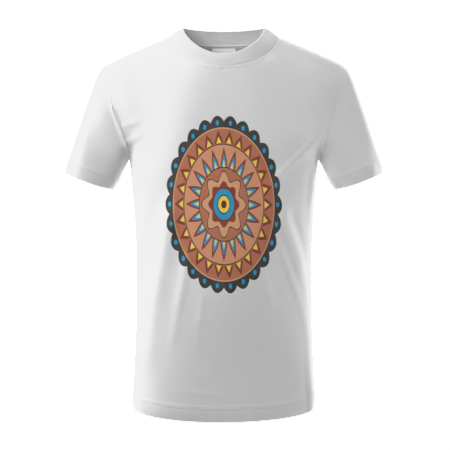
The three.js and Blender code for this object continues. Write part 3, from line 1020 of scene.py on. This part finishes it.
# Rings of triangles that point outwards: how many, from where to where, and the inks that lie
# inside each other, each with its size
PRINT_TRIANGLES = [
    (ZIGZAGS, ZIGZAG_BAND, [(0.95, DARK_BROWN), (0.5, YELLOW)]),
    (RAYS, RAY_BAND, [(0.92, DARK_BROWN), (0.62, TURQUOISE), (0.34, YELLOW)]),
]

# The flower in the middle and the rings in it: how far petals stand out, the mean edge, the ink
PRINT_FLOWER = [
    (0.05, 0.33, CHARCOAL),
    (0.05, 0.315, TAN),
    (0.025, 0.235, DARK_BROWN),
    (0, 0.17, TURQUOISE),
    (0, 0.11, CHARCOAL),
    (0, 0.095, YELLOW),
    (0, 0.045, MAROON),
]


# Places of a mix node's inputs and output, for colours and for numbers
COLOUR_INPUTS = (0, 6, 7)
COLOUR_OUTPUT = 2
NUMBER_INPUTS = (0, 2, 3)


class Value:
    """A number worked out by a material's nodes, written as plain arithmetic."""

    def __init__(self, tree, socket):
        self.tree = tree
        self.socket = socket

    def math(self, operation, *others):
        node = self.tree.nodes.new("ShaderNodeMath")
        node.operation = operation
        for place, value in enumerate((self, *others)):
            if isinstance(value, Value):
                self.tree.links.new(value.socket, node.inputs[place])
            else:
                node.inputs[place].default_value = value
        return Value(self.tree, node.outputs[0])

    def __add__(self, other):
        return self.math("ADD", other)

    def __sub__(self, other):
        return self.math("SUBTRACT", other)

    def __mul__(self, other):
        return self.math("MULTIPLY", other)

    def __truediv__(self, other):
        return self.math("DIVIDE", other)

    def __abs__(self):
        return self.math("ABSOLUTE")

    def below(self, limit):
        return self.math("LESS_THAN", limit)

    def above(self, limit):
        return self.math("GREATER_THAN", limit)

    def within(self, pitch):
        """Where the number lies in its repeat, from -0.5 to 0.5."""
        return (self / pitch + 0.5).math("FRACT") - 0.5

    def from_middle(self, pitch):
        """How far the number lies from the middle of its repeat, from 0 to 1."""
        return abs(self.within(pitch)) * 2


def radius(x, y):
    return (x * x + y * y).math("SQRT")


def blended(first, second, share):
    """The first number weighted by the share and the second one by the rest."""
    return first * share + second * (1 - share)


def principled(name, settings):
    """A material and its Principled shader, with these settings of the shader's inputs."""
    material = bpy.data.materials.new(name)
    material.use_nodes = True
    shader = material.node_tree.nodes["Principled BSDF"]
    for setting, value in settings.items():
        shader.inputs[setting].default_value = value
    return material, shader


class Cloth:
    """A cloth material, with the piece's flat cloth coordinates at hand."""

    def __init__(self, name, colour, roughness, sheen):
        self.material, self.shader = principled(name, {
            "Roughness": roughness,
            "Specular IOR Level": SPECULAR,
            "Sheen Weight": sheen,
            "Sheen Roughness": SHEEN_ROUGHNESS,
        })
        self.material.diffuse_color = (*colour, 1)
        self.tree = self.material.node_tree
        self.place = self.node("ShaderNodeUVMap", uv_map=CLOTH_MAP).outputs["UV"]
        split = self.node("ShaderNodeSeparateXYZ", Vector=self.place)
        self.x = Value(self.tree, split.outputs["X"]) * (1 / MM)
        self.y = Value(self.tree, split.outputs["Y"]) * (1 / MM)

    def node(self, kind, **settings):
        """A new node. A setting whose name is one of its inputs is set or linked there."""
        made = self.tree.nodes.new(kind)
        for name, value in settings.items():
            if name not in made.inputs:
                setattr(made, name, value)
            elif isinstance(value, bpy.types.NodeSocket):
                self.tree.links.new(value, made.inputs[name])
            else:
                made.inputs[name].default_value = value
        return made

    def noise(self, size, detail=2, where=None):
        """Soft noise between 0 and 1 whose blotches are about this many millimetres wide."""
        where = where or self.place
        made = self.node("ShaderNodeTexNoise", Vector=where, Scale=1 / (size * MM), Detail=detail)
        return Value(self.tree, made.outputs["Fac"])

    def mixed(self, share, first, second):
        """Two colours, or colour outputs, mixed by a share."""
        made = self.tree.nodes.new("ShaderNodeMix")
        made.data_type = "RGBA"
        made.clamp_factor = True
        for place, value in zip(COLOUR_INPUTS, (share.socket, first, second)):
            if isinstance(value, bpy.types.NodeSocket):
                self.tree.links.new(value, made.inputs[place])
            else:
                made.inputs[place].default_value = (*value, 1)
        return made.outputs[COLOUR_OUTPUT]

    def bump(self, height, relief):
        """Height from 0 to 1, raised by this many millimetres."""
        made = self.node("ShaderNodeBump", Height=height.socket, Distance=relief * MM)
        self.tree.links.new(made.outputs["Normal"], self.shader.inputs["Normal"])

    def coloured(self, colour):
        self.tree.links.new(colour, self.shader.inputs["Base Color"])


def knit(cloth, wale, course):
    """Height of plain knit: columns of V-shaped stitches."""
    from_middle = cloth.x.from_middle(wale)
    rows = (cloth.y + from_middle * course * KNIT_SLANT).within(course)
    return (from_middle * from_middle * -WALE_ROUNDING + 1) * (abs(rows) * -COURSE_ROUNDING + 1)


def jersey_cloth(name):
    """Jersey, with its colour and the height of its knit."""
    cloth = Cloth(name, JERSEY_COLOUR, JERSEY_ROUGHNESS, KNIT_SHEEN)
    shade = blended(cloth.noise(JERSEY_BLOTCH, detail=3), cloth.noise(JERSEY_FLECK), PATTERN_SHARE)
    height = blended(knit(cloth, JERSEY_WALE, JERSEY_COURSE), cloth.noise(JERSEY_FUZZ), PATTERN_SHARE)
    return cloth, cloth.mixed(shade, JERSEY_COLOUR, JERSEY_SHADE), height


def plain_jersey():
    cloth, colour, height = jersey_cloth("jersey")
    cloth.coloured(colour)
    cloth.bump(height, JERSEY_RELIEF)
    return cloth.material


def rib_knit():
    cloth = Cloth("rib", RIB_COLOUR, RIB_ROUGHNESS, KNIT_SHEEN)
    # Painted shade: the colour darkens in the furrows between the ribs, with random mottle over it
    furrow = cloth.x.from_middle(RIB_PITCH)
    shade = blended(furrow * furrow, cloth.noise(RIB_BLOTCH), PATTERN_SHARE)
    cloth.coloured(cloth.mixed(shade, RIB_COLOUR, RIB_FURROW_PAINTED_SHADE_AND_MOTTLE))
    height = blended(knit(cloth, RIB_PITCH, RIB_COURSE), cloth.noise(RIB_FUZZ), PATTERN_SHARE)
    cloth.bump(height, RIB_RELIEF)
    return cloth.material


def woven_tape():
    # The tape's grey is partly painted shade from inside the neck
    cloth = Cloth("tape", TAPE_GREY_WITH_PAINTED_SHADE, TAPE_ROUGHNESS, TAPE_SHEEN)
    twill = (cloth.x + cloth.y).from_middle(TWILL_PITCH)
    shade = blended(twill, cloth.noise(TAPE_BLOTCH), TWILL_COLOUR_SHARE)
    cloth.coloured(cloth.mixed(shade, TAPE_GREY_WITH_PAINTED_SHADE, TAPE_DARKER_GREY_WITH_PAINTED_SHADE))
    cloth.bump(blended(twill, cloth.noise(TAPE_FUZZ), TWILL_HEIGHT_SHARE), TAPE_RELIEF)
    return cloth.material


def label_satin():
    cloth = Cloth("label", LABEL_COLOUR, LABEL_ROUGHNESS, SMOOTH_SHEEN)
    weft = cloth.y.from_middle(LABEL_WEFT)
    edge = abs(cloth.x).above(LABEL_WIDTH / 2 - LABEL_EDGE)
    cloth.coloured(cloth.mixed(blended(weft, edge, LABEL_WEFT_SHARE), LABEL_COLOUR, LABEL_SHADE))
    cloth.bump(blended(weft, edge, PATTERN_SHARE), LABEL_RELIEF)
    return cloth.material


def sewing_thread():
    cloth = Cloth("thread", THREAD_COLOUR, THREAD_ROUGHNESS, SMOOTH_SHEEN)
    coordinates = cloth.node("ShaderNodeTexCoord").outputs["Object"]
    twist = cloth.noise(THREAD_TWIST, detail=1, where=coordinates)
    cloth.coloured(cloth.mixed(twist, THREAD_COLOUR, JERSEY_SHADE))
    cloth.bump(twist, THREAD_RELIEF)
    return cloth.material


def medallion(cloth):
    """An oval medallion on the cloth: its ink, and where it lies (1 inside, 0 outside)."""
    across = cloth.x / (PRINT_WIDTH / 2)
    up = (cloth.y - PRINT_MIDDLE_Y) / (PRINT_HEIGHT / 2)
    reach = radius(across, up)
    around = up.math("ARCTAN2", across)
    layers = [(reach.below(outer), ink) for outer, ink in PRINT_RINGS]

    # A dot in each of the round lobes along the edge
    lobe_turn = 2 * math.pi / LOBES
    from_lobe = around.within(lobe_turn)
    from_dot = radius(reach - LOBE_DOT_PLACE, from_lobe * (lobe_turn * LOBE_DOT_PLACE))
    layers.append((from_dot.below(LOBE_DOT_SIZE), TURQUOISE))

    for count, (low, high), inks in PRINT_TRIANGLES:
        climb = (reach - low) / (high - low)
        size = around.from_middle(2 * math.pi / count) + climb
        layers += [(reach.above(low) * size.below(limit), ink) for limit, ink in inks]

    petals = (around * PETALS).math("COSINE")
    layers += [((reach - petals * depth).below(edge), ink) for depth, edge, ink in PRINT_FLOWER]

    colour = CHARCOAL
    for mask, ink in layers:
        colour = cloth.mixed(mask, colour, ink)
    lobe_edge = reach + from_lobe * from_lobe * 4 * LOBE_DEPTH
    return colour, lobe_edge.below(1.0)


def printed_jersey():
    """The front's cloth, with the medallion screened on it. The ink is a little uneven, smoother
    than the cloth, and fills its knit."""
    cloth, colour, height = jersey_cloth("printed_jersey")
    ink, inside = medallion(cloth)
    grain = cloth.noise(INK_GRAIN, detail=1) * INK_GRAIN_SHARE
    cover = grain + cloth.noise(INK_CLOUD) * INK_CLOUD_SHARE + INK_LEAST_COVER
    printed = inside * cover.math("MINIMUM", 1.0)
    cloth.coloured(cloth.mixed(printed, colour, ink))
    roughness = printed * (INK_ROUGHNESS - JERSEY_ROUGHNESS) + JERSEY_ROUGHNESS
    cloth.tree.links.new(roughness.socket, cloth.shader.inputs["Roughness"])
    cloth.bump(height * (printed * -INK_FLATTENS_KNIT + 1), JERSEY_RELIEF)
    return cloth.material


# Camera, light and floor
def make_camera():
    data = bpy.data.cameras.new("camera")
    data.lens = CAMERA_LENS
    data.sensor_width = SENSOR_WIDTH
    camera = placed("camera", data)
    camera.location = (*CAMERA_AIM, CAMERA_HEIGHT)
    bpy.context.scene.camera = camera


def make_sun(name, strength, from_left, elevation, softness):
    """A distant light, placed and aimed by its angles alone."""
    data = bpy.data.lights.new(name, "SUN")
    data.energy = strength
    data.angle = math.radians(softness)
    light = placed(name, data)
    light.rotation_euler = (math.radians(90 - elevation), 0, math.radians(180 + from_left))


def make_key():
    """A large soft lamp beyond the left shoulder, near enough to fade towards the far hem."""
    data = bpy.data.lights.new("key", "AREA")
    data.shape = "DISK"
    data.size = KEY_SIZE
    data.energy = KEY_POWER
    light = placed("key", data)
    light.location = KEY_PLACE
    towards = Vector(KEY_AIM) - Vector(KEY_PLACE)
    light.rotation_euler = towards.to_track_quat("-Z", "Y").to_euler()


def make_world():
    """A backdrop that is bright in the picture and lights the shirt only a little."""
    world = bpy.data.worlds.new("studio")
    world.use_nodes = True
    nodes, links = world.node_tree.nodes, world.node_tree.links
    path, mix = nodes.new("ShaderNodeLightPath"), nodes.new("ShaderNodeMix")
    seen, ambient, backdrop = (mix.inputs[place] for place in NUMBER_INPUTS)
    ambient.default_value = AMBIENT
    backdrop.default_value = BACKDROP
    links.new(path.outputs["Is Camera Ray"], seen)
    links.new(mix.outputs[0], nodes["Background"].inputs["Strength"])
    nodes["Background"].inputs["Color"].default_value = WHITE
    bpy.context.scene.world = world


def soften_highlights():
    """Highlights on the cloth level off softly, as on film, and only the backdrop is pure white."""
    view = bpy.context.scene.view_settings
    view.view_transform = "Standard"
    view.use_curve_mapping = True
    view.curve_mapping.white_level = (WHITE_LIGHT,) * 3
    points = view.curve_mapping.curves[3].points
    room = SHOULDER_LEVEL - SHOULDER_START
    for light in np.linspace(0, WHITE_LIGHT, CURVE_STEPS + 1)[1:-1]:
        over = max(0, light - SHOULDER_START)
        level = min(light, SHOULDER_START) + room * (1 - math.exp(-over / room))
        level += (1 - SHOULDER_LEVEL) * smooth_share(light, WHITE_START, WHITE_LIGHT)
        points.new(light / WHITE_LIGHT, level)
    view.curve_mapping.update()


def make_floor():
    mesh = bpy.data.meshes.new("floor")
    half = FLOOR_HALF_SIZE
    corners = [(-half, -half), (half, -half), (half, half), (-half, half)]
    mesh.from_pydata([(x, y, FLOOR_Z) for x, y in corners], [], [(0, 1, 2, 3)])
    material, _ = principled("floor", {
        "Base Color": FLOOR_COLOUR,
        "Roughness": FLOOR_ROUGHNESS,
        "Emission Color": WHITE,
        "Emission Strength": FLOOR_GLOW,
    })
    mesh.materials.append(material)
    placed("floor", mesh)


make_camera()
soften_highlights()
make_world()
make_floor()
make_key()
for sun in SUNS:
    make_sun(*sun)

jersey, thread = plain_jersey(), sewing_thread()
pieces = [
    (*front_panel(printed_jersey()), "front_panel", "jersey", FRONT_CUT),
    (*back_panel(jersey), "back_panel", "jersey", BACK_CUT),
    (*sleeve("sleeve_right", 1, jersey), "right_sleeve", "jersey", SLEEVE_CUT),
    (*sleeve("sleeve_left", -1, jersey), "left_sleeve", "jersey", SLEEVE_CUT),
    (*neck_band(rib_knit()), "neck_rib", "rib", BAND_CUT),
    (*neck_tape(woven_tape()), "neck_tape", "tape", TAPE_CUT),
    (*neck_label(label_satin()), "neck_label", "label", LABEL_CUT),
]


def finish_piece(piece, rows, node, slot, cut):
    """Gives a piece its body and its stitches, and hides its CAD node. The slot and the cut are not
    used.
    """
    sewn = [stitches(piece.name + "_stitches", rows, thread)] if rows else []
    for each in (piece, *sewn):
        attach(each, "root")
    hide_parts(node)


for made in pieces:
    finish_piece(*made)
